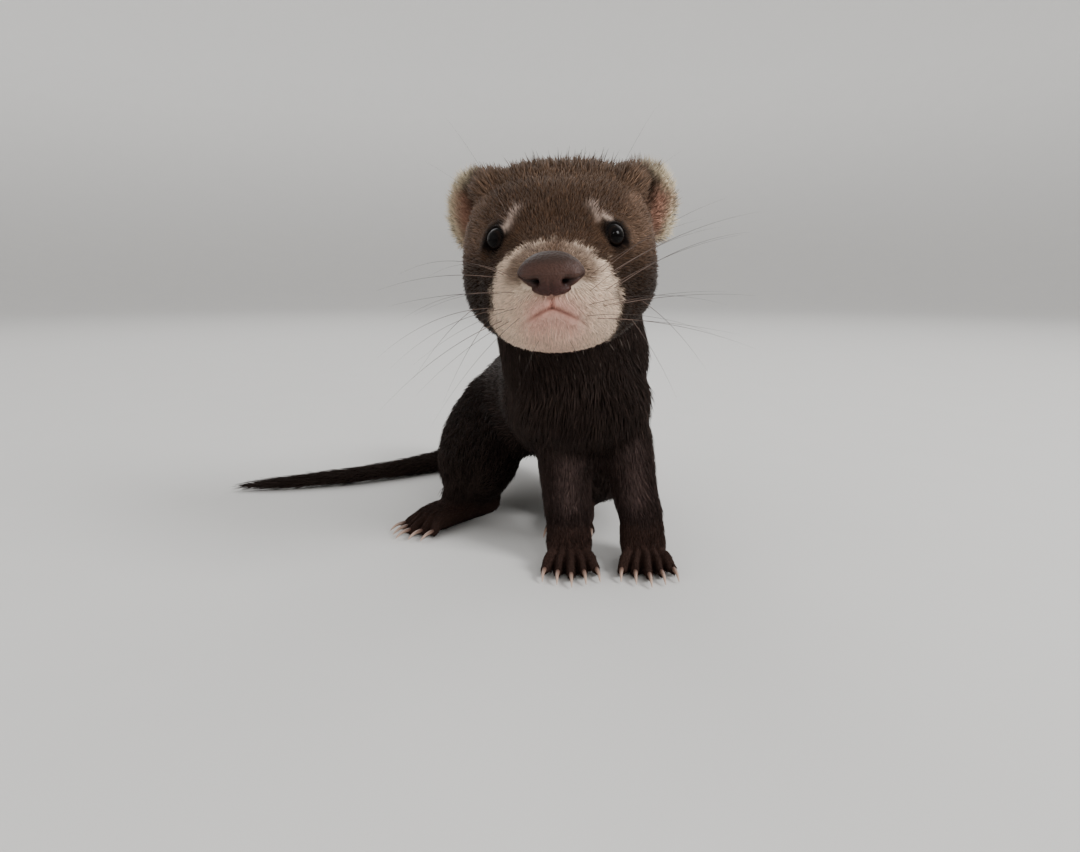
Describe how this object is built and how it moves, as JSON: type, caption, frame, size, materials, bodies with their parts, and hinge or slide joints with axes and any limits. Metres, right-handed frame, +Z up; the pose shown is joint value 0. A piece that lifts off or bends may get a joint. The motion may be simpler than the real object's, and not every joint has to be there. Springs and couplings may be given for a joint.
{
  "type": "ferret kit figure",
  "caption": "A life-size still model of a young ferret sitting up on straight forelegs and looking ahead, with a dark coat, a pale muzzle mask and rounded ears.",
  "frame": {"origin": "on the floor, at the middle of the bounding box's bottom face", "axes": "+Z is up; the animal faces -Y, and +X is to the right of someone who faces it"},
  "size_m": [0.1262, 0.1384, 0.0921],
  "materials": {
    "head_coat": "short soft fur",
    "dark_coat": "dense dark fur",
    "paw_coat": "very short fur",
    "ear_skin": "soft skin with fine hair",
    "nose_skin": "damp, finely grained",
    "eye": "wet gloss"
  },
  "bodies": {
    "root": {"head": "head_coat", "nose": "nose_skin", "ear_right": "ear_skin", "eye_right": "eye", "ear_left": "ear_skin", "eye_left": "eye", "neck": "dark_coat", "chest": "dark_coat", "belly": "dark_coat", "rump": "dark_coat", "foreleg_right": "dark_coat", "forepaw_right": "paw_coat", "foreleg_left": "dark_coat", "forepaw_left": "paw_coat", "hindleg_right": "dark_coat", "hindfoot_right": "paw_coat", "hindleg_left": "dark_coat", "hindfoot_left": "paw_coat", "tail_base": "dark_coat", "tail_middle": "dark_coat", "tail_tip": "dark_coat"}
  },
  "joints": []
}
